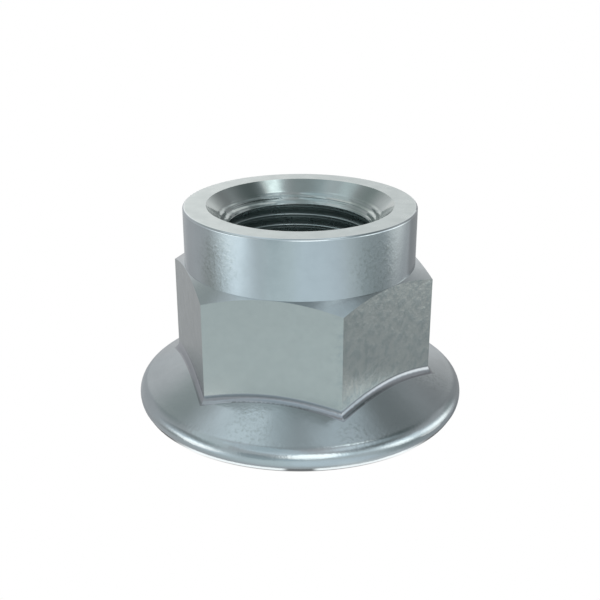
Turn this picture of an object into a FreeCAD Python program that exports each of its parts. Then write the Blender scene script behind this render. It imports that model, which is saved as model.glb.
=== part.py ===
import FreeCAD, Part
import math
import os

# Hexagon lock nut in one piece: a wide conical flange at the foot, a hexagon for the spanner
# above it and a tall round locking collar on top, bored and countersunk for a fine thread.
# Millimetres. The origin is the centre of the bearing face and +Z runs up the thread axis.

# Thread; the bore is modelled as it is before threading, at the thread's minor diameter
thread_diameter = 20.0
thread_pitch = 1.5

# Whole nut, from the bearing face to the top of the collar
nut_height = 26.5

# Hexagon, and the chamfer turned over its upper corners
across_flats = 30.0
corner_chamfer_degrees = 30.0

# Locking collar, turned on top of the hexagon to just inside its flats
collar_height = 7.6
collar_setback = 0.05
collar_edge_radius = 0.3

# Flange: a cone that reaches past the hexagon's corners, rounds over at its rim and is
# bevelled, at an angle from the axis, where the rim comes down to the bearing face
flange_overhang = 4.3
flange_slope_degrees = 28.0
rim_radius = 1.95
rim_widest_height = 1.25
rim_bevel_height = 0.6
rim_bevel_degrees = 30.0
hexagon_root_radius = 1.1

# Countersinks at the two mouths of the bore, and how far each opens outside the thread
upper_mouth_degrees = 90.0
upper_mouth_margin = 2.0
lower_mouth_degrees = 90.0
lower_mouth_margin = 0.5

# Radii worked out from the sizes above
thread_triangle_height = thread_pitch * math.sqrt(3) / 2
minor_radius = thread_diameter / 2 - thread_triangle_height * 5 / 8
upper_mouth_radius = thread_diameter / 2 + upper_mouth_margin
lower_mouth_radius = thread_diameter / 2 + lower_mouth_margin
flat_distance = across_flats / 2
corner_distance = flat_distance / math.cos(math.pi / 6)
collar_radius = flat_distance - collar_setback
flange_radius = corner_distance + flange_overhang

# Heights worked out from the sizes above
collar_foot = nut_height - collar_height
upper_mouth_depth = (upper_mouth_radius - minor_radius) / math.tan(math.radians(upper_mouth_degrees / 2))
lower_mouth_depth = (lower_mouth_radius - minor_radius) / math.tan(math.radians(lower_mouth_degrees / 2))

# The rim's arc runs from the bevel up past its widest height and ends in line with the cone
rim_centre = (flange_radius - rim_radius, rim_widest_height)
rim_start_degrees = -math.degrees(math.asin((rim_widest_height - rim_bevel_height) / rim_radius))
rim_end_degrees = 90 - flange_slope_degrees


def at(radius, height):
    """Point of a half section, in the plane through the axis and the middle of the +Y flat."""
    return FreeCAD.Vector(0, radius, height)


def line(start, end):
    return Part.makeLine(at(*start), at(*end))


def on_circle(centre, radius, degrees):
    """Point of a circle in a half section; the angle is counted up from the outward direction."""
    angle = math.radians(degrees)
    return (centre[0] + radius * math.cos(angle), centre[1] + radius * math.sin(angle))


def arc(centre, radius, start_degrees, end_degrees):
    middle_degrees = (start_degrees + end_degrees) / 2
    points = [on_circle(centre, radius, degrees) for degrees in (start_degrees, middle_degrees, end_degrees)]
    return Part.Arc(*[at(*point) for point in points]).toShape()


def turned(edges):
    """Solid of revolution from the closed half section that the edges bound."""
    section = Part.Face(Part.Wire(edges))
    return section.revolve(at(0, 0), FreeCAD.Vector(0, 0, 1), 360)


def flange_height_at(radius):
    """Height of the flange's cone at a distance from the axis."""
    foot = on_circle(rim_centre, rim_radius, rim_end_degrees)
    return foot[1] + (foot[0] - radius) * math.tan(math.radians(flange_slope_degrees))


def make_round_form():
    """Everything that is round: flange, core, collar and the bore with its two countersinks."""
    rim_start = on_circle(rim_centre, rim_radius, rim_start_degrees)
    rim_end = on_circle(rim_centre, rim_radius, rim_end_degrees)
    bevel_foot = (rim_start[0] - rim_start[1] * math.tan(math.radians(rim_bevel_degrees)), 0)
    core_foot = (collar_radius, flange_height_at(collar_radius))
    edge_centre = (collar_radius - collar_edge_radius, nut_height - collar_edge_radius)
    bore_top = (minor_radius, nut_height - upper_mouth_depth)
    bore_foot = (minor_radius, lower_mouth_depth)
    return turned([
        line((lower_mouth_radius, 0), bevel_foot),
        line(bevel_foot, rim_start),
        arc(rim_centre, rim_radius, rim_start_degrees, rim_end_degrees),
        line(rim_end, core_foot),
        line(core_foot, (collar_radius, edge_centre[1])),
        arc(edge_centre, collar_edge_radius, 0, 90),
        line((edge_centre[0], nut_height), (upper_mouth_radius, nut_height)),
        line((upper_mouth_radius, nut_height), bore_top),
        line(bore_top, bore_foot),
        line(bore_foot, (lower_mouth_radius, 0)),
    ])


def make_hexagon():
    """Hexagon with two flats square to Y, hollow inside the core, chamfered up to the collar."""
    prism_corners = []
    for step in range(7):
        angle = math.radians(60 * step)
        x = corner_distance * math.cos(angle)
        y = corner_distance * math.sin(angle)
        prism_corners.append(FreeCAD.Vector(x, y, 0))
    prism = Part.Face(Part.makePolygon(prism_corners)).extrude(FreeCAD.Vector(0, 0, nut_height))

    # The chamfer's cone starts at the collar's foot and falls to the edge of the turned blank
    core_radius = (minor_radius + collar_radius) / 2
    chamfer_drop = (flange_radius - collar_radius) * math.tan(math.radians(corner_chamfer_degrees))
    section = [
        (core_radius, rim_widest_height),
        (flange_radius, rim_widest_height),
        (flange_radius, collar_foot - chamfer_drop),
        (collar_radius, collar_foot),
        (core_radius, collar_foot),
    ]
    blank = turned([line(start, end) for start, end in zip(section, section[1:] + section[:1])])
    return prism.common(blank)


def is_on_cone(point):
    height = flange_height_at(math.hypot(point.x, point.y))
    return math.isclose(point.z, height, abs_tol=0.001)


def find_hexagon_roots(forging):
    """Edges where the upright flats of the hexagon stand on the flange's cone."""
    roots = []
    for face in forging.Faces:
        if isinstance(face.Surface, Part.Plane) and abs(face.Surface.Axis.z) < 0.5:
            roots += [edge for edge in face.Edges if all(is_on_cone(end.Point) for end in edge.Vertexes)]
    return roots


def make_lock_nut():
    forging = make_round_form().fuse(make_hexagon())
    return forging.makeFillet(hexagon_root_radius, find_hexagon_roots(forging)).Solids[0]


lock_nut = make_lock_nut()
print("valid", lock_nut.isValid(), "faces", len(lock_nut.Faces), "volume", round(lock_nut.Volume, 1))
print("flange diameter", round(2 * flange_radius, 2), "bore diameter", round(2 * minor_radius, 3))

os.makedirs("parts", exist_ok=True)
lock_nut.exportStep("parts/lock_nut.step")
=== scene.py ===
import math

import bpy
from mathutils import Euler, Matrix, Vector


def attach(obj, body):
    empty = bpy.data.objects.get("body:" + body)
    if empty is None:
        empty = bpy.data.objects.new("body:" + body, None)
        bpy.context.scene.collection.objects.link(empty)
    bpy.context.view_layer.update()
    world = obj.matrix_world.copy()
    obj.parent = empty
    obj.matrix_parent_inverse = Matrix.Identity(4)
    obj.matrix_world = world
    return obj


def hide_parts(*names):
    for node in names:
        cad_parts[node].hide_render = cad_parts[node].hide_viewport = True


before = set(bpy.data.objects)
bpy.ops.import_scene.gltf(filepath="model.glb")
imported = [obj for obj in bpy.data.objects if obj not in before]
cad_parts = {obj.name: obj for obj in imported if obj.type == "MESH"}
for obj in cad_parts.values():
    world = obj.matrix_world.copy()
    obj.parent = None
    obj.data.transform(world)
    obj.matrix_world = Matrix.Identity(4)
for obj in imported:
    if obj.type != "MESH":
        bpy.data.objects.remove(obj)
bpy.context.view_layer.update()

# Hexagon flange lock nut: the nut with its thread cut, its plated surface, a white floor,
# soft studio lights and the camera. Lengths are written in millimetres and turned to metres by mm().
# The origin is the centre of the bearing face, +Z runs up the thread axis and +X goes through a corner.

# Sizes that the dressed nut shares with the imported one
THREAD_DIAMETER = 20.0
THREAD_PITCH = 1.5
NUT_HEIGHT = 26.5
ACROSS_FLATS = 30.0
COLLAR_FOOT = 18.9
COLLAR_EDGE_RADIUS = 0.3
COUNTERSINK_RADIUS = 12.0
LOWER_MOUTH_RADIUS = 10.5
FLANGE_OVERHANG = 4.3
FLANGE_SLOPE = math.radians(28)
RIM_RADIUS = 1.95
RIM_CENTRE = (ACROSS_FLATS / math.sqrt(3) + FLANGE_OVERHANG - RIM_RADIUS, 1.25)
RIM_BEVEL_HEIGHT = 0.6
FOOT_RADIUS = 21.16

# Thread: a pitch of an ISO metric thread is a 60 degree triangle with its tips cut off
THREAD_RADIUS = THREAD_DIAMETER / 2
TRIANGLE_HEIGHT = THREAD_PITCH * math.sqrt(3) / 2
MINOR_RADIUS = THREAD_RADIUS - TRIANGLE_HEIGHT * 5 / 8
CREST_ROUNDING = 0.12
# A crest of the thread stands at this height at the middle of the bore's far wall
CREST_HEIGHT = 22.07
FAR_WALL_DEGREES = 103.18
STEPS_PER_TURN = 120

# The bore's wall lies between its two countersinks, and the groove fades out over the upper one's foot
LOWER_MOUTH_DEPTH = LOWER_MOUTH_RADIUS - MINOR_RADIUS
COUNTERSINK_FOOT = NUT_HEIGHT - (COUNTERSINK_RADIUS - MINOR_RADIUS)
RUN_OUT_START = 23.2
RUN_OUT_SLOPE = 0.9
RUN_OUT_DEPTH = 0.1

# A point this near to a surface lies on it
TOUCHING = 0.01


def mm(*lengths):
    """Millimetres as metres: one length as a number, several as a vector."""
    if len(lengths) == 1:
        return lengths[0] / 1000
    return Vector(length / 1000 for length in lengths)


def active(piece):
    """Makes one piece the selected and active one."""
    bpy.ops.object.select_all(action="DESELECT")
    piece.select_set(True)
    bpy.context.view_layer.objects.active = piece


def apply_modifiers(piece):
    active(piece)
    for name in [modifier.name for modifier in piece.modifiers]:
        bpy.ops.object.modifier_apply(modifier=name)


def merged_blank():
    """The nut before threading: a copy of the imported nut, its loose triangles merged."""
    blank = bpy.data.objects.new("lock_nut_threaded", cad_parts["lock_nut"].data.copy())
    bpy.context.scene.collection.objects.link(blank)
    active(blank)
    bpy.ops.mesh.customdata_custom_splitnormals_clear()
    bpy.ops.object.mode_set(mode="EDIT")
    bpy.ops.mesh.select_all(action="SELECT")
    bpy.ops.mesh.remove_doubles(threshold=mm(0.0001))
    bpy.ops.mesh.select_all(action="DESELECT")
    bpy.ops.object.mode_set(mode="OBJECT")
    return blank


def groove_section():
    """Outline of the groove that a tap cuts: (radius, height) points from root to mouth and back."""
    # The groove is an eighth of a pitch wide at its root and opens at 60 degrees towards the axis
    flank = math.tan(math.radians(30))
    root_half = THREAD_PITCH / 16
    mouth_half = root_half + (THREAD_RADIUS - MINOR_RADIUS) * flank
    # The crest's corners are rounded, so that they catch the light as thin lines
    corner_half = mouth_half + CREST_ROUNDING * flank
    upper = [(THREAD_RADIUS, root_half)]
    for degrees in (60, 40, 20, 0):
        angle = math.radians(degrees)
        radius = MINOR_RADIUS + CREST_ROUNDING * (1 - math.cos(angle))
        upper.append((radius, corner_half - CREST_ROUNDING * math.sin(angle)))
    # The mouth stands clear of the wall, a little way into the bore
    upper.append((MINOR_RADIUS - 0.15, corner_half + 0.02))
    return upper + [(radius, -height) for radius, height in reversed(upper)]


def run_out_radius(height):
    """How far the groove's root reaches at a height: it fades to a shallow wave on the countersink."""
    cone_radius = MINOR_RADIUS + height - COUNTERSINK_FOOT
    faded = THREAD_RADIUS - max(0, height - RUN_OUT_START) * RUN_OUT_SLOPE
    return min(THREAD_RADIUS, max(cone_radius + RUN_OUT_DEPTH, faded))


def make_tap():
    """The groove that a tap leaves: its section on a disc, swept up the axis as a screw."""
    bpy.ops.object.select_all(action="DESELECT")
    # Three turns more than the nut is high, so that both ends of the groove are clear of the metal
    turns = math.ceil(NUT_HEIGHT / THREAD_PITCH) + 3
    first_groove = CREST_HEIGHT - THREAD_PITCH * (turns - 2.5)
    section = groove_section()
    bpy.ops.mesh.primitive_circle_add(vertices=len(section), radius=mm(1), fill_type="NGON")
    tap = bpy.context.object
    tap.name = "tap"
    for vertex, (radius, height) in zip(tap.data.vertices, section):
        vertex.co = mm(radius, 0, first_groove + height)
    tap.rotation_euler.z = math.radians(FAR_WALL_DEGREES)
    bpy.ops.object.transform_apply(location=True, rotation=True, scale=True)
    screw = tap.modifiers.new("groove", "SCREW")
    screw.axis = "Z"
    screw.angle = math.tau
    screw.screw_offset = mm(THREAD_PITCH)
    screw.iterations = turns
    screw.steps = screw.render_steps = STEPS_PER_TURN
    screw.use_normal_calculate = True
    bpy.ops.object.modifier_apply(modifier="groove")
    # Above the run-out's start the groove's root is pushed in towards the axis
    for vertex in tap.data.vertices:
        radius = math.hypot(vertex.co.x, vertex.co.y) * 1000
        if radius > THREAD_RADIUS - TOUCHING:
            reach = run_out_radius(vertex.co.z * 1000) / radius
            vertex.co.x *= reach
            vertex.co.y *= reach
    # Both ends are closed, so that the swept groove is a solid
    bpy.ops.object.mode_set(mode="EDIT")
    bpy.ops.mesh.select_all(action="DESELECT")
    bpy.ops.mesh.select_mode(type="EDGE")
    bpy.ops.mesh.select_non_manifold()
    bpy.ops.mesh.fill()
    bpy.ops.mesh.select_all(action="SELECT")
    bpy.ops.mesh.normals_make_consistent(inside=False)
    bpy.ops.mesh.select_all(action="DESELECT")
    bpy.ops.object.mode_set(mode="OBJECT")
    return tap


def make_flange_gauge():
    """The flange's cone and rim as two fine round forms, to take smooth shading from."""
    bpy.ops.object.select_all(action="DESELECT")
    bpy.ops.mesh.primitive_torus_add(
        major_segments=180, minor_segments=96,
        major_radius=mm(RIM_CENTRE[0]), minor_radius=mm(RIM_RADIUS), location=mm(0, 0, RIM_CENTRE[1]),
    )
    rim = bpy.context.object
    # The cone starts in line with the rim's arc and goes on up inside the hexagon
    foot_radius = RIM_CENTRE[0] + RIM_RADIUS * math.sin(FLANGE_SLOPE)
    foot_height = RIM_CENTRE[1] + RIM_RADIUS * math.cos(FLANGE_SLOPE)
    top_radius = 14.0
    rise = (foot_radius - top_radius) * math.tan(FLANGE_SLOPE)
    bpy.ops.mesh.primitive_cone_add(
        vertices=360, radius1=mm(foot_radius), radius2=mm(top_radius), depth=mm(rise),
        end_fill_type="NOTHING", location=mm(0, 0, foot_height + rise / 2),
    )
    gauge = bpy.context.object
    rim.select_set(True)
    bpy.ops.object.join()
    bpy.ops.object.transform_apply(location=True, rotation=True, scale=True)
    bpy.ops.object.shade_smooth()
    return gauge


def is_on_flange(place):
    """Whether a point of the nut, in millimetres, is on the flange's cone or on its rounded rim."""
    near = 2 * TOUCHING
    radius = math.hypot(place.x, place.y)
    outwards = radius - RIM_CENTRE[0]
    off_rim = math.hypot(outwards, place.z - RIM_CENTRE[1]) - RIM_RADIUS
    on_rim = abs(off_rim) < near and place.z > RIM_BEVEL_HEIGHT + near and outwards > 0
    cone_height = RIM_CENTRE[1] + RIM_RADIUS / math.cos(FLANGE_SLOPE) - outwards * math.tan(FLANGE_SLOPE)
    on_cone = abs(place.z - cone_height) < near and radius > ACROSS_FLATS / 2 and outwards < RIM_RADIUS
    return on_rim or on_cone


def smooth_flange(nut):
    """Shades the flange as the gauge is, because its own long triangles would ripple the highlights."""
    gauge = make_flange_gauge()
    flange = nut.vertex_groups.new(name="flange")
    round_vertices = [vertex.index for vertex in nut.data.vertices if is_on_flange(vertex.co * 1000)]
    flange.add(round_vertices, 1.0, "REPLACE")
    transfer = nut.modifiers.new("flange_shading", "DATA_TRANSFER")
    transfer.object = gauge
    transfer.use_loop_data = True
    transfer.data_types_loops = {"CUSTOM_NORMAL"}
    transfer.loop_mapping = "POLYINTERP_NEAREST"
    transfer.vertex_group = "flange"
    apply_modifiers(nut)
    nut.vertex_groups.clear()
    bpy.data.objects.remove(gauge)


def make_nut():
    nut = merged_blank()
    tap = make_tap()
    cut = nut.modifiers.new("thread", "BOOLEAN")
    cut.operation = "DIFFERENCE"
    cut.solver = "MANIFOLD"
    cut.object = tap
    apply_modifiers(nut)
    bpy.data.objects.remove(tap)
    active(nut)
    # Corners of more than 24 degrees stay crisp
    bpy.ops.object.shade_smooth_by_angle(angle=math.radians(24), keep_sharp_edges=False)
    weighted = nut.modifiers.new("smooth", "WEIGHTED_NORMAL")
    weighted.mode = "FACE_AREA"
    weighted.weight = 50
    weighted.keep_sharp = True
    apply_modifiers(nut)
    smooth_flange(nut)
    return nut


def linear(hex_colour):
    """An sRGB hex colour as the linear colour that Blender's shaders take."""
    channels = [int(hex_colour[i : i + 2], 16) / 255 for i in (1, 3, 5)]
    return tuple(c / 12.92 if c <= 0.04045 else ((c + 0.055) / 1.055) ** 2.4 for c in channels) + (1.0,)


def add_node(tree, kind, inputs=None, **settings):
    """Adds one node with its settings; each input is a value or a link from another node."""
    node = tree.nodes.new(kind)
    for name, value in settings.items():
        setattr(node, name, value)
    for name, value in (inputs or {}).items():
        if isinstance(value, bpy.types.NodeSocket):
            tree.links.new(value, node.inputs[name])
        else:
            node.inputs[name].default_value = value
    return node


def turned_marks(tree, radius, height, size_mm):
    """Tool marks run round the axis, so their pattern depends on radius and height alone."""
    section = add_node(tree, "ShaderNodeCombineXYZ", {"X": radius, "Y": height})
    marks = add_node(tree, "ShaderNodeTexNoise", {
        "Vector": section.outputs[0], "Scale": 1 / mm(size_mm), "Detail": 2.0, "Roughness": 0.7,
    })
    return marks.outputs["Fac"]


# From this x on the flats start to be dented, and from the second they are dented all over
DENTED_SIDE = (6.5, 9.5)


def barrel_dents(tree, place, side, size_mm):
    """The nut lay on its +X side in the barrel, where its flats are dented and stained all over."""
    dents = add_node(tree, "ShaderNodeTexNoise", {
        "Vector": place, "Scale": 1 / mm(size_mm), "Detail": 4.0, "Roughness": 0.6,
    })
    share = add_node(tree, "ShaderNodeMapRange", {
        "Value": side, "From Min": mm(DENTED_SIDE[0]), "From Max": mm(DENTED_SIDE[1]), "To Min": 0.12,
    }, interpolation_type="SMOOTHSTEP")
    relief = add_node(tree, "ShaderNodeMath", {
        0: dents.outputs["Fac"], 1: share.outputs[0],
    }, operation="MULTIPLY")
    stain = add_node(tree, "ShaderNodeMapRange", {
        "Value": dents.outputs["Fac"], "From Min": 0.42, "From Max": 0.66,
    }, interpolation_type="SMOOTHSTEP")
    stained = add_node(tree, "ShaderNodeMath", {
        0: stain.outputs[0], 1: share.outputs[0],
    }, operation="MULTIPLY")
    return relief.outputs[0], stained.outputs[0]


# Distances from the axis between which the knocks on the rim set in
KNOCKED_RIM = (19.8, 20.6)


def mottled_places(tree, place, radius, width_mm):
    """Fine mottling in the plating, where the nut touched its neighbours in the bath."""
    mottling = add_node(tree, "ShaderNodeTexNoise", {
        "Vector": place, "Scale": 1 / mm(width_mm), "Detail": 4.0, "Roughness": 0.6,
    })
    touched = None
    for x, y, z, reach in TOUCHED_PLACES:
        away = add_node(tree, "ShaderNodeVectorMath", {0: place, 1: mm(x, y, z)}, operation="DISTANCE")
        near = add_node(tree, "ShaderNodeMapRange", {
            "Value": away.outputs["Value"], "From Min": mm(reach * 0.4), "From Max": mm(reach),
            "To Min": 1.0, "To Max": 0.0,
        }, interpolation_type="SMOOTHSTEP").outputs[0]
        if touched:
            nearest = add_node(tree, "ShaderNodeMath", {0: near, 1: touched}, operation="MAXIMUM")
            near = nearest.outputs[0]
        touched = near
    tint = add_node(tree, "ShaderNodeMapRange", {
        "Value": mottling.outputs["Fac"], "From Min": 0.45, "From Max": 0.72,
    }, interpolation_type="SMOOTHSTEP")
    tinted = add_node(tree, "ShaderNodeMath", {0: tint.outputs[0], 1: touched}, operation="MULTIPLY")
    # The rim is knocked all round, which makes its highlight sparkle
    rim = add_node(tree, "ShaderNodeMapRange", {
        "Value": radius, "From Min": mm(KNOCKED_RIM[0]), "From Max": mm(KNOCKED_RIM[1]), "To Max": 0.9,
    }, interpolation_type="SMOOTHSTEP")
    rough = add_node(tree, "ShaderNodeMath", {0: touched, 1: rim.outputs[0]}, operation="MAXIMUM")
    relief = add_node(tree, "ShaderNodeMath", {
        0: mottling.outputs["Fac"], 1: rough.outputs[0],
    }, operation="MULTIPLY")
    return relief.outputs[0], tinted.outputs[0]


# Distances from the axis between which the tap's waves fade out
FADING_WAVES = (10.0, 10.7)
# The run-out softens the foot of the countersink by this much up and down
COUNTERSINK_BLEND = 0.1


def tap_waves(tree, place, parts, radius, pitch_mm):
    """Soft helical waves that the tap left on the foot of the countersink, fading out up its cone."""
    turned = add_node(tree, "ShaderNodeMath", {0: parts["Y"], 1: parts["X"]}, operation="ARCTAN2")
    climbed = add_node(tree, "ShaderNodeMath", {
        0: turned.outputs[0], 1: -mm(THREAD_PITCH) / math.tau, 2: parts["Z"],
    }, operation="MULTIPLY_ADD")
    phase = add_node(tree, "ShaderNodeMath", {
        0: climbed.outputs[0], 1: math.tau / mm(pitch_mm),
    }, operation="MULTIPLY")
    wave = add_node(tree, "ShaderNodeMath", {0: phase.outputs[0]}, operation="SINE")
    near_thread = add_node(tree, "ShaderNodeMapRange", {
        "Value": radius, "From Min": mm(FADING_WAVES[0]), "From Max": mm(FADING_WAVES[1]),
        "To Min": 1.0, "To Max": 0.0,
    }, interpolation_type="SMOOTHSTEP")
    above_thread = add_node(tree, "ShaderNodeMapRange", {
        "Value": parts["Z"], "From Min": mm(COUNTERSINK_FOOT - COUNTERSINK_BLEND),
        "From Max": mm(COUNTERSINK_FOOT + COUNTERSINK_BLEND),
    }, interpolation_type="SMOOTHSTEP")
    band = add_node(tree, "ShaderNodeMath", {
        0: near_thread.outputs[0], 1: above_thread.outputs[0],
    }, operation="MULTIPLY")
    # The waves come and go round the bore
    swell = add_node(tree, "ShaderNodeTexNoise", {
        "Vector": place, "Scale": 1 / mm(3.2), "Detail": 2.0, "Roughness": 0.5,
    })
    swollen = add_node(tree, "ShaderNodeMapRange", {
        "Value": swell.outputs["Fac"], "From Min": 0.35, "From Max": 0.65, "To Min": 0.5, "To Max": 1.5,
    }, interpolation_type="SMOOTHSTEP")
    rise = add_node(tree, "ShaderNodeMath", {
        0: band.outputs[0], 1: swollen.outputs[0],
    }, operation="MULTIPLY")
    waves = add_node(tree, "ShaderNodeMath", {
        0: wave.outputs[0], 1: rise.outputs[0],
    }, operation="MULTIPLY")
    return waves.outputs[0]


def make_plated(name, pale, deep, polish, dull, cloud_mm, grains_mm,
                mottling_mm=None, lathe_mm=None, dents_mm=None, waves_mm=None):
    """Zinc plating: clouds of deeper colour and duller shine over reliefs of a width and a depth."""
    material = bpy.data.materials.new(name)
    material.use_nodes = True
    tree = material.node_tree
    surface = tree.nodes["Principled BSDF"]
    surface.inputs["Metallic"].default_value = 1.0
    place = add_node(tree, "ShaderNodeTexCoord").outputs["Object"]
    parts = add_node(tree, "ShaderNodeSeparateXYZ", {0: place}).outputs
    across = add_node(tree, "ShaderNodeCombineXYZ", {"X": parts["X"], "Y": parts["Y"]})
    away = add_node(tree, "ShaderNodeVectorMath", {0: across.outputs[0]}, operation="LENGTH")
    radius = away.outputs["Value"]

    noise = add_node(tree, "ShaderNodeTexNoise", {
        "Vector": place, "Scale": 1 / mm(cloud_mm), "Detail": 5.0, "Roughness": 0.62,
    })
    clouds = add_node(tree, "ShaderNodeMapRange", {
        "Value": noise.outputs["Fac"], "From Min": 0.3, "From Max": 0.7,
    }, interpolation_type="SMOOTHSTEP")
    colour = add_node(tree, "ShaderNodeMix", {
        "Factor": clouds.outputs[0], "A": linear(deep), "B": linear(pale),
    }, data_type="RGBA")
    shine = add_node(tree, "ShaderNodeMapRange", {
        "Value": clouds.outputs[0], "To Min": dull, "To Max": polish,
    })
    tree.links.new(shine.outputs[0], surface.inputs["Roughness"])

    reliefs = []
    stains = []
    if mottling_mm:
        relief, stain = mottled_places(tree, place, radius, mottling_mm[0])
        reliefs.append((relief, mottling_mm[1]))
        stains.append(stain)
    if dents_mm:
        relief, stain = barrel_dents(tree, place, parts["X"], dents_mm[0])
        reliefs.append((relief, dents_mm[1]))
        stains.append(stain)
    for stain in stains:
        colour = add_node(tree, "ShaderNodeMix", {
            "Factor": stain, "A": colour.outputs["Result"], "B": linear(STAIN_COLOUR),
        }, data_type="RGBA")
    tree.links.new(colour.outputs["Result"], surface.inputs["Base Color"])
    for width_mm, depth_mm in grains_mm:
        grain = add_node(tree, "ShaderNodeTexNoise", {
            "Vector": place, "Scale": 1 / mm(width_mm), "Detail": 3.0, "Roughness": 0.6,
        })
        reliefs.append((grain.outputs["Fac"], depth_mm))
    if lathe_mm:
        reliefs.append((turned_marks(tree, radius, parts["Z"], lathe_mm[0]), lathe_mm[1]))
    if waves_mm:
        reliefs.append((tap_waves(tree, place, parts, radius, waves_mm[0]), waves_mm[1]))
    # Each relief lies on the one before it
    under = {}
    for height, depth_mm in reliefs:
        bump = add_node(tree, "ShaderNodeBump", {
            "Height": height, "Strength": 1.0, "Distance": mm(depth_mm), **under,
        })
        under = {"Normal": bump.outputs[0]}
    tree.links.new(under["Normal"], surface.inputs["Normal"])
    return material


# Where turned surfaces are mottled: x, y, z and how far the mottling reaches
TOUCHED_PLACES = (
    # Collar
    (-7.2, -13.1, 22.3, 4.6), (11.6, -9.4, 22.3, 5.2), (13.0, 7.2, 22.0, 5.0), (-9.5, 11.5, 23.0, 5.5),
    # Flange
    (-1.9, -18.6, 4.0, 4.0), (10.6, -16.9, 3.3, 2.9), (17.3, -1.5, 4.6, 4.0), (4.5, 17.5, 4.4, 5.5),
    (-17.5, 4.0, 4.0, 5.0),
)
# Colour of mottled and stained plating
STAIN_COLOUR = "#AEB5B4"

# Zinc electroplate with blue passivation, one plating over surfaces that were made in different ways.
# Real grain and tool marks are a tenth of a millimetre wide or less, and are drawn coarser to show.
FINISHES = {
    # Turned: collar, chamfer and flange. A cold blue-white satin that breaks up the edges of highlights
    "zinc_plated_turned_steel": dict(
        pale="#C0C7C9", deep="#BCC3C5", polish=0.12, dull=0.18, cloud_mm=2.6,
        grains_mm=((2.2, 0.014), (0.4, 0.0032)), mottling_mm=(0.45, 0.018), lathe_mm=(0.22, 0.0006),
    ),
    # Cold forged: the six flats. Greener and duller, with low cloudy mottling left by the die
    "zinc_plated_forged_steel": dict(
        pale="#BCC0BD", deep="#BABEBB", polish=0.22, dull=0.27, cloud_mm=1.7,
        grains_mm=((5.0, 0.01), (0.5, 0.0012)), dents_mm=(1.05, 0.052),
    ),
    # Formed root: the fillet at the foot of the flats. Burnished by the die, so it draws crisp lines.
    # Its colour is darker than the turned finish's as painted shade in this crease
    "zinc_plated_burnished_painted_shade_steel": dict(
        pale="#ACAFB3", deep="#A8ABAE", polish=0.05, dull=0.08, cloud_mm=1.6,
        grains_mm=((2.0, 0.004), (0.4, 0.003)),
    ),
    # Turned edge: the rounding at the top of the collar. Rubbed smooth, so it draws a thin white line,
    # and given a paler colour as a painted highlight that makes the line brighter
    "zinc_plated_painted_highlight_edge_steel": dict(
        pale="#D2D8DA", deep="#CCD3D5", polish=0.05, dull=0.08, cloud_mm=2.6,
        grains_mm=((1.2, 0.002),),
    ),
    # Faced: the ring on top of the collar. Matt and pale, with fine tool marks round the axis
    "zinc_plated_faced_steel": dict(
        pale="#C4CCCB", deep="#BEC6C5", polish=0.27, dull=0.33, cloud_mm=2.0,
        grains_mm=((1.6, 0.01), (0.35, 0.004)), lathe_mm=(0.15, 0.0006),
    ),
    # Countersunk: the cones at both mouths. Smoother, so that dark and bright meet in hard edges
    "zinc_plated_countersunk_steel": dict(
        pale="#B7BFBD", deep="#B3BBB9", polish=0.10, dull=0.14, cloud_mm=1.2,
        grains_mm=((1.5, 0.003), (0.3, 0.0008)), lathe_mm=(0.2, 0.0003), waves_mm=(0.7, 0.045),
    ),
    # Tapped: the thread. Thin green-grey plating, dull in the grooves, with a soft shine on the crests
    "zinc_plated_tapped_steel": dict(
        pale="#B0BAB9", deep="#A6B1B0", polish=0.26, dull=0.32, cloud_mm=2.4,
        grains_mm=((2.0, 0.002),),
    ),
}

# The fillet at the foot of the flats lies between these heights and distances from the axis
ROOT_HEIGHTS = (3.0, 9.0)
ROOT_RADII = (14.9, 18.2)


def is_on_flat(centre, normal):
    """Whether a face is upright and lies in the plane of one of the six flats."""
    if abs(normal.z) > 0.01 or centre.z > COLLAR_FOOT:
        return False
    for step in range(6):
        angle = math.radians(30 + 60 * step)
        reach = centre.x * math.cos(angle) + centre.y * math.sin(angle)
        if abs(reach - ACROSS_FLATS / 2) < 0.003:
            return True
    return False


def is_on_root(centre, normal):
    """Whether a face lies at the foot of the flats and is turned away from the flange's cone."""
    radius = math.hypot(centre.x, centre.y)
    in_height = ROOT_HEIGHTS[0] < centre.z < ROOT_HEIGHTS[1]
    if not in_height or not ROOT_RADII[0] < radius < ROOT_RADII[1]:
        return False
    across = (centre.x * normal.x + centre.y * normal.y) / radius
    along_cone = across * math.sin(FLANGE_SLOPE) + normal.z * math.cos(FLANGE_SLOPE)
    return along_cone < math.cos(math.radians(3))


def surface_of(face):
    """Which finish a face of the nut has, by its place and the way it faces."""
    centre, normal = face.center * 1000, face.normal
    radius = math.hypot(centre.x, centre.y)
    if normal.z > 0.99 and centre.z > NUT_HEIGHT - TOUCHING:
        return "zinc_plated_faced_steel"
    # The rounding at the collar's top gets a paler colour, which is a painted highlight
    if centre.z > NUT_HEIGHT - COLLAR_EDGE_RADIUS and radius > COUNTERSINK_RADIUS:
        return "zinc_plated_painted_highlight_edge_steel"
    if radius < COUNTERSINK_RADIUS and centre.z > TOUCHING:
        in_thread = LOWER_MOUTH_DEPTH < centre.z < COUNTERSINK_FOOT - COUNTERSINK_BLEND
        return "zinc_plated_tapped_steel" if in_thread else "zinc_plated_countersunk_steel"
    if is_on_flat(centre, normal):
        return "zinc_plated_forged_steel"
    # The fillet at the foot of the flats gets a darker colour, which is painted shade in the crease
    if is_on_root(centre, normal):
        return "zinc_plated_burnished_painted_shade_steel"
    return "zinc_plated_turned_steel"


def give_finishes(nut):
    nut.data.materials.clear()
    for name, finish in FINISHES.items():
        nut.data.materials.append(make_plated(name, **finish))
    places = {name: place for place, name in enumerate(FINISHES)}
    for face in nut.data.polygons:
        face.material_index = places[surface_of(face)]


nut = make_nut()
give_finishes(nut)
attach(nut, "root")
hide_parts("lock_nut")

scene = bpy.context.scene
scene.view_settings.view_transform = "Standard"

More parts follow.
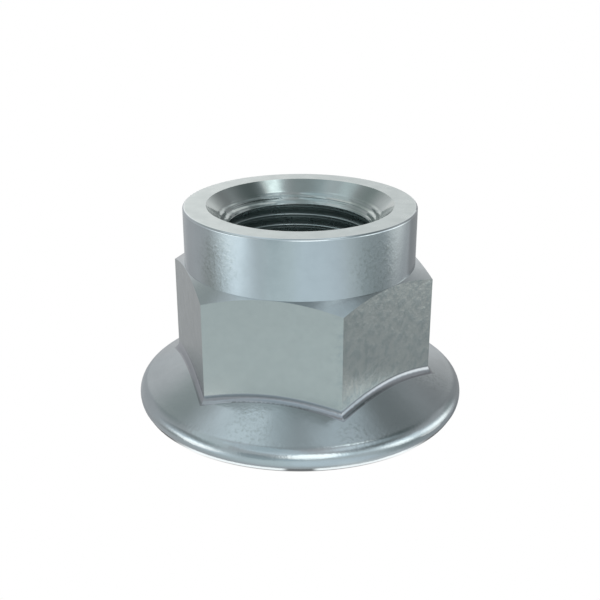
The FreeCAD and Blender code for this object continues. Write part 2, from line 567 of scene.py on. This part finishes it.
# Camera: at the photograph's height and angle, turned a little from the nut's front flat
CAMERA_TURN_DEGREES = 13.164
CAMERA_TILT_DEGREES = 68.172
camera_data = bpy.data.cameras.new("camera")
camera_data.lens = 57.935
camera_data.sensor_width = 36
camera_data.clip_start = 0.001
camera_data.clip_end = 20
camera = bpy.data.objects.new("camera", camera_data)
camera.location = mm(27.07, -115.78, 60.76)
camera.rotation_euler.x = math.radians(CAMERA_TILT_DEGREES)
camera.rotation_euler.z = math.radians(CAMERA_TURN_DEGREES)
scene.collection.objects.link(camera)
scene.camera = camera


# Studio: a white floor and cove that only the camera sees, and the surroundings that the nut reflects
def towards(azimuth_degrees, elevation_degrees):
    """Direction from the nut; azimuth 0 is towards the camera and counts to its right."""
    azimuth = math.radians(azimuth_degrees + CAMERA_TURN_DEGREES)
    elevation = math.radians(elevation_degrees)
    level = math.cos(elevation)
    return Vector((math.sin(azimuth) * level, -math.cos(azimuth) * level, math.sin(elevation)))


# Azimuth, elevation, half width, half height and tilt in degrees, edge's softness, brightness, colour.
# A panel with a negative brightness takes light away.
PANELS = {
    "key_softbox": (8.5, 16.1, 16.6, 18.9, 60.3, 0.15, 0.97, "#FFFCF6"),
    "left_softbox": (-74, -10.4, 22.5, 11.6, 30.2, 0.90, 0.76, "#E5F2FF"),
    "right_softbox": (77.7, 4.5, 34.2, 12.2, 16.9, 0.90, 0.64, "#E2F6FF"),
    "right_low_softbox": (104.7, -5.9, 15.1, 10.4, 7.7, 0.66, 0.89, "#FFFEF8"),
    "back_wall": (-178.1, 28.7, 27.7, 35.4, 41.7, 0.37, 0.42, "#FFFCF8"),
    "floor_back": (140.9, -52.5, 50.5, 32.1, 2.3, 0.15, 0.13, "#EBF3FF"),
    "floor_left": (-130.4, -72.6, 19.1, 7.3, 16.2, 0.49, 0.01, "#0000FF"),
    "floor_right": (107.8, -73, 49.7, 9.4, 1.2, 0.63, 0.17, "#FAFFF6"),
    "front_low": (-5.8, -31.5, 90, 37.7, 9.7, 0.90, 0.31, "#D4FAFF"),
    "front_level": (24.5, -37.2, 32.1, 23.2, 37.4, 0.20, 0.11, "#C8D4FF"),
    "upper_left": (-109.8, 68, 14.2, 10.8, -48.3, 0.90, 0.49, "#DDF6FF"),
    "upper_front_left": (-26.9, 49.1, 29.3, 18.1, 29.1, 0.15, 0.26, "#CDEFFF"),
    "high_front_left": (-73.1, 38.3, 29.8, 11.8, 48.5, 0.25, 0.22, "#DCFCFF"),
    "upper_streak": (68.8, 68.8, 6.5, 3, 40.2, 0.52, 0.89, "#E8FEFF"),
    "upper_right": (52.6, 48, 20.8, 9.8, 8.5, 0.81, 0.45, "#E8F6FF"),
    "high_right": (95.3, 72.7, 86.5, 9.8, -18.9, 0.71, 0.30, "#E4F4FF"),
    "right_mid": (89.2, 4.2, 4.8, 4.2, 29.8, 0.18, 0.34, "#FFE3E4"),
    "dark_upper_right": (78.8, 46.5, 42, 16.9, -22.4, 0.83, -0.39, "#FDFAFF"),
    "dark_right": (72.6, 21.9, 17.3, 3.6, 12.2, 0.90, -0.17, "#F8FEFF"),
    "dark_right_back": (145.3, -7.7, 14.8, 48.5, -16.6, 0.15, -0.17, "#F5FAFF"),
    "dark_right_low": (109.2, -33.3, 55.8, 14.8, 10.2, 0.42, -0.25, "#FAFAFF"),
    "dark_left": (-79.9, 12.1, 25.4, 12.9, -17.4, 0.26, -0.22, "#F7F8FF"),
    "dark_front_left": (-27.5, -1.5, 12.8, 17, -19, 0.17, -0.24, "#FEFFFE"),
    "dark_back_left": (-144, 41, 37.1, 11.9, 5.3, 0.73, -0.18, "#FFEDF9"),
    "dark_left_low": (-87.9, -21, 22.2, 4.4, -8.6, 0.56, -0.21, "#EBEFFF"),
    "dark_top": (-6.8, 90, 13, 70.2, 21.4, 0.45, -0.11, "#FFDBDB"),
    "streak": (73.1, 67.2, 7.6, 3, 43.8, 0.30, 0.48, "#FFF8F0"),
    "upper_back_left": (-166.9, 17.1, 10.1, 25.6, 7.5, 0.35, 0.18, "#FFF6F0"),
    "key_core": (15.8, 17.9, 23.3, 11, 25, 0.68, 0.55, "#D9F2FF"),
    "left_core": (-73.4, -10.8, 19.2, 5.3, 2.9, 0.51, 0.63, "#FFF8E5"),
    "right_core": (67.5, 0.1, 13.9, 8.8, 42.1, 0.40, 0.75, "#FFFDF6"),
    "dark_under_key": (3.6, 1.8, 23.9, 6.1, -36.3, 0.17, -0.16, "#FFE4C8"),
    "dark_far_right": (121.1, 6.3, 7.4, 14, 17.1, 0.28, -0.12, "#FFF0FB"),
    "dark_back_left_low": (-142, -27, 13, 8, 0, 0.50, -0.08, "#FFFFFF"),
    "dark_lower_left": (-43.2, -19.3, 9.2, 10.7, 7.6, 0.74, -0.09, "#E8FFFD"),
    "key_edge_left": (-27, 32, 14, 8, 0, 0.60, 0.11, "#EAF6FF"),
}
AMBIENT = (0.534, "#F8FBFF")


def add_panel(tree, direction, light, name, panel):
    """Adds one soft-edged oval panel to the surroundings' light."""
    azimuth, elevation, half_width, half_height, tilt, softness, brightness, colour = panel
    wide = math.sin(math.radians(min(half_width, 90)))
    high = math.sin(math.radians(min(half_height, 90)))
    # Tilted in its own plane first, then raised, then turned round the nut
    angles = (-elevation, tilt, azimuth + CAMERA_TURN_DEGREES)
    turn = Euler([math.radians(angle) for angle in angles], "YXZ")
    place = add_node(tree, "ShaderNodeMapping", {
        "Vector": direction, "Location": towards(azimuth, elevation),
        "Rotation": turn.to_matrix().to_euler("XYZ"), "Scale": (wide, max(wide, high), high),
    }, vector_type="TEXTURE")
    away = add_node(tree, "ShaderNodeVectorMath", {0: place.outputs[0]}, operation="LENGTH")
    shape = add_node(tree, "ShaderNodeMapRange", {
        "Value": away.outputs["Value"], "From Min": 1 - softness, "From Max": 1 + softness,
        "To Min": 1.0, "To Max": 0.0,
    }, interpolation_type="SMOOTHSTEP")
    glow = [channel * brightness for channel in linear(colour)[:3]]
    lit = add_node(tree, "ShaderNodeVectorMath", {
        0: shape.outputs[0], 1: glow, 2: light,
    }, operation="MULTIPLY_ADD")
    lit.name = name
    return lit.outputs[0]


world = bpy.data.worlds.new("studio")
world.use_nodes = True
tree = world.node_tree
direction = add_node(tree, "ShaderNodeTexCoord").outputs["Generated"]
brightness, colour = AMBIENT
glow = [channel * brightness for channel in linear(colour)[:3]]
ambient = add_node(tree, "ShaderNodeCombineXYZ", dict(zip("XYZ", glow)))
light = ambient.outputs[0]
for name, panel in PANELS.items():
    light = add_panel(tree, direction, light, name, panel)
# The panels that take light away leave the surroundings nearly black at the least
least = add_node(tree, "ShaderNodeVectorMath", {0: light, 1: (0.02, 0.02, 0.02)}, operation="MAXIMUM")
tree.links.new(least.outputs[0], tree.nodes["Background"].inputs["Color"])
scene.world = world

# Floor close to the rim: the place nearest to the camera, the widths of the shaded and the bright strip
# round the foot, and how far towards the camera the bright strip sets in
FRONT_OF_FOOT = mm(4.8, -20.6, 0)
CREVICE_WIDTH = 0.2
BRIGHT_STRIP_WIDTH = 0.28
BRIGHT_FRONT = (13.5, 17.5)


def make_white(name, glow):
    """White paint that glows by itself, so that it shows as paper white."""
    material = bpy.data.materials.new(name)
    material.use_nodes = True
    surface = material.node_tree.nodes["Principled BSDF"]
    surface.inputs["Base Color"].default_value = (0, 0, 0, 1)
    surface.inputs["Roughness"].default_value = 1.0
    surface.inputs["Specular IOR Level"].default_value = 0.0
    surface.inputs["Emission Color"].default_value = (1, 1, 1, 1)
    surface.inputs["Emission Strength"].default_value = glow
    return material


def shade_under_front(material, reach_mm, glow):
    """Darkens the floor round the front of the rim's foot; reach and glow are given near and far."""
    tree = material.node_tree
    place = add_node(tree, "ShaderNodeTexCoord").outputs["Object"]
    front = add_node(tree, "ShaderNodeVectorMath", {0: place, 1: FRONT_OF_FOOT}, operation="DISTANCE")
    shade = add_node(tree, "ShaderNodeMapRange", {
        "Value": front.outputs["Value"], "From Min": mm(reach_mm[0]), "From Max": mm(reach_mm[1]),
        "To Min": glow[0], "To Max": glow[1],
    }, interpolation_type="SMOOTHSTEP")
    tree.links.new(shade.outputs[0], tree.nodes["Principled BSDF"].inputs["Emission Strength"])
    return place, shade


def darken_crevice(material):
    """Shades the floor close round the rim's foot, which draws a thin grey line under the front."""
    tree = material.node_tree
    place, shade = shade_under_front(material, (2, 16), (0.1, 1.0))
    away = add_node(tree, "ShaderNodeVectorMath", {0: place}, operation="LENGTH")
    clear = add_node(tree, "ShaderNodeMapRange", {
        "Value": away.outputs["Value"],
        "From Min": mm(FOOT_RADIUS), "From Max": mm(FOOT_RADIUS + CREVICE_WIDTH),
    }, interpolation_type="SMOOTHSTEP")
    glow = add_node(tree, "ShaderNodeMath", {
        0: shade.outputs[0], 1: clear.outputs[0],
    }, operation="MAXIMUM")
    tree.links.new(glow.outputs[0], tree.nodes["Principled BSDF"].inputs["Emission Strength"])


def dim_beside_front(material):
    """Leaves the glow of the floor only under the front of the rim, and not at its left and right."""
    tree = material.node_tree
    glow = tree.nodes["Principled BSDF"].inputs["Emission Strength"]
    place = add_node(tree, "ShaderNodeTexCoord").outputs["Object"]
    forward = add_node(tree, "ShaderNodeVectorMath", {
        0: place, 1: towards(0, 0),
    }, operation="DOT_PRODUCT")
    share = add_node(tree, "ShaderNodeMapRange", {
        "Value": forward.outputs["Value"],
        "From Min": mm(BRIGHT_FRONT[0]), "From Max": mm(BRIGHT_FRONT[1]), "To Min": 0.12,
    }, interpolation_type="SMOOTHSTEP")
    dimmed = add_node(tree, "ShaderNodeMath", {
        0: glow.links[0].from_socket, 1: share.outputs[0],
    }, operation="MULTIPLY")
    tree.links.new(dimmed.outputs[0], glow)


def seen_only(piece, by_camera, by_reflections):
    """Makes a piece part of the stage, and says whether the camera or the nut's reflections see it."""
    piece.visible_camera = by_camera
    piece.visible_glossy = by_reflections
    piece.visible_diffuse = False
    piece.visible_transmission = False
    piece.visible_volume_scatter = False
    piece.visible_shadow = False


def make_floor_ring(name, outer, material):
    """A flat ring of floor from the nut's foot outwards, open so that the underside shows from below."""
    inner = FOOT_RADIUS - 0.06
    bpy.ops.object.select_all(action="DESELECT")
    bpy.ops.mesh.primitive_circle_add(
        vertices=180, radius=mm(outer), fill_type="NOTHING", location=(0, 0, 0),
    )
    ring = bpy.context.object
    ring.name = name
    bpy.ops.object.mode_set(mode="EDIT")
    bpy.ops.mesh.select_all(action="SELECT")
    bpy.ops.mesh.extrude_edges_move()
    bpy.ops.transform.resize(value=[inner / outer] * 3)
    bpy.ops.mesh.select_all(action="SELECT")
    bpy.ops.mesh.normals_make_consistent(inside=False)
    bpy.ops.object.mode_set(mode="OBJECT")
    ring.data.materials.append(material)
    return ring


white_floor = make_white("white_floor", 1.0)
darken_crevice(white_floor)
floor = make_floor_ring("floor", 1500, white_floor)
seen_only(floor, by_camera=True, by_reflections=False)

# The strip of floor under the overhanging rim, which the rim's bevel reflects as a white line
bright_floor = make_white("bright_floor", 1.6)
shade_under_front(bright_floor, (1.3, 2.3), (0.3, 1.6))
dim_beside_front(bright_floor)
floor_under_rim = make_floor_ring("floor_under_rim", FOOT_RADIUS + BRIGHT_STRIP_WIDTH, bright_floor)
seen_only(floor_under_rim, by_camera=False, by_reflections=True)

# The floor inside the bore is in the nut's own shadow
bpy.ops.object.select_all(action="DESELECT")
bpy.ops.mesh.primitive_circle_add(
    vertices=96, radius=mm(10.3), fill_type="NGON", location=mm(0, 0, 0.1),
)
bore_floor = bpy.context.object
bore_floor.name = "floor_in_bore"
bore_floor.data.materials.append(make_white("shaded_floor", 0.14))
seen_only(bore_floor, by_camera=False, by_reflections=True)

# Where the floor beside the rim is lit: azimuth, distance from the foot, half length, half width, glow
LIT_PLACES = {
    "left": (-41, 4.2, 4.5, 1.4, 1.6),
    "right": (57, 3.7, 3.0, 1.5, 1.0),
}
for name, (azimuth, away, long, wide, glow) in LIT_PLACES.items():
    bpy.ops.object.select_all(action="DESELECT")
    bpy.ops.mesh.primitive_circle_add(
        vertices=48, radius=mm(1), fill_type="NGON",
        location=towards(azimuth, 0) * mm(FOOT_RADIUS + away),
        rotation=(0, 0, math.radians(azimuth + CAMERA_TURN_DEGREES)),
    )
    lit_place = bpy.context.object
    lit_place.scale = (long, wide, 1)
    lit_place.name = "floor_lit_" + name
    bpy.ops.object.transform_apply(location=True, rotation=True, scale=True)
    lit_place.data.materials.append(make_white("lit_floor_" + name, glow))
    seen_only(lit_place, by_camera=False, by_reflections=True)

# The cove closes in the floor all round, so that the background is white from any side
bpy.ops.object.select_all(action="DESELECT")
bpy.ops.mesh.primitive_uv_sphere_add(segments=48, ring_count=24, radius=1.6, location=(0, 0, 0))
cove = bpy.context.object
cove.name = "cove"
cove.data.materials.append(make_white("white_cove", 1.0))
seen_only(cove, by_camera=True, by_reflections=False)
